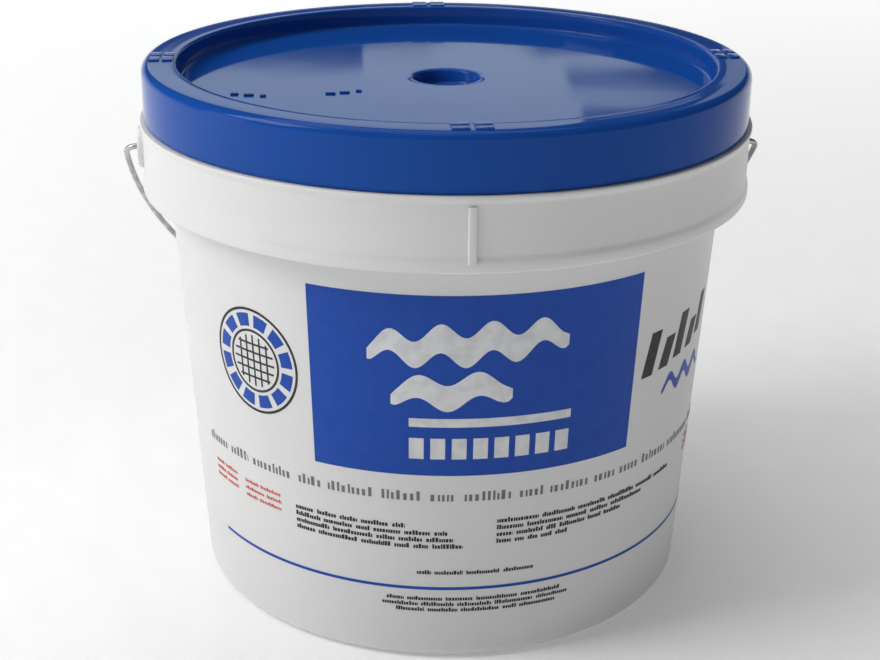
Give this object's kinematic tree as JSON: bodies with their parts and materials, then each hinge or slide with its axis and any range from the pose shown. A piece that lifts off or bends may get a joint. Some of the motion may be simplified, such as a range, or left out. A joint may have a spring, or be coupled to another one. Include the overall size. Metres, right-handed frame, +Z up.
{
  "type": "cast net in a pail",
  "caption": "Weighted throw net packed with its hand line in a round lidded pail with a swinging wire bail and a rolling grip.",
  "frame": {"origin": "centre of the pail's base on the ground", "axes": "+Z up; the collar's front rib and the printed panel face -Y; the bail turns about X"},
  "size_m": [0.335, 0.3163, 0.2774],
  "materials": {
    "white_plastic": "smooth moulded polyethylene, soft gloss",
    "blue_plastic": "smooth moulded polyethylene, glossy",
    "galvanised_wire": "zinc-plated drawn wire",
    "grip_plastic": "moulded, satin",
    "net_monofilament": "clear knotted nylon webbing",
    "lead_rope": "braided",
    "lead": "dull cast lead, slightly oxidised",
    "tie_plastic": "soft, satin",
    "horn_plastic": "smooth moulded",
    "twine": "twisted nylon twine",
    "brail_monofilament": "clear monofilament",
    "sleeve_metal": "crimped, satin",
    "brass": "turned, satin",
    "hand_rope": "braided polypropylene",
    "whipping": "tight waxed thread"
  },
  "bodies": {
    "pail": {"pail_body": "white_plastic", "net_webbing": "net_monofilament", "net_neck": "net_monofilament", "lead_line": "lead_rope", "lead_weights": "lead", "lead_line_ties": "tie_plastic", "horn": "horn_plastic", "horn_lashing": "twine", "brail_lines": "brail_monofilament", "brail_sleeves": "sleeve_metal", "swivel_brail_eye": "brass", "hand_line_run": "hand_rope", "hand_line_coil": "hand_rope", "hand_line_tail": "hand_rope", "coil_tie": "tie_plastic", "wrist_loop": "hand_rope", "loop_whipping": "whipping"},
    "lid": {"lid": "blue_plastic"},
    "bail": {"bail_wire": "galvanised_wire"},
    "grip": {"bail_grip": "grip_plastic"},
    "swivel_barrel": {"swivel_barrel": "brass"},
    "swivel_eye": {"swivel_hand_eye": "brass", "hand_line_knot": "hand_rope"}
  },
  "joints": [
    {"name": "lid_lift", "type": "slide", "parent": "pail", "child": "lid", "axis": [0, 0, 1], "range_m": [0, 0.16]},
    {"name": "bail_swing", "type": "hinge", "parent": "pail", "child": "bail", "pos_m": [0, 0, 0.2304], "axis": [1, 0, 0], "range_deg": [0, 267.5]},
    {"name": "grip_roll", "type": "hinge", "parent": "bail", "child": "grip", "pos_m": [0, 0.14774, 0.08872], "axis": [1, 0, 0], "continuous": true},
    {"name": "barrel_spin", "type": "hinge", "parent": "pail", "child": "swivel_barrel", "pos_m": [-0.006, 0.082, 0.183], "axis": [1, 0, 0], "continuous": true},
    {"name": "eye_spin", "type": "hinge", "parent": "swivel_barrel", "child": "swivel_eye", "pos_m": [-0.006, 0.082, 0.183], "axis": [1, 0, 0], "continuous": true}
  ]
}
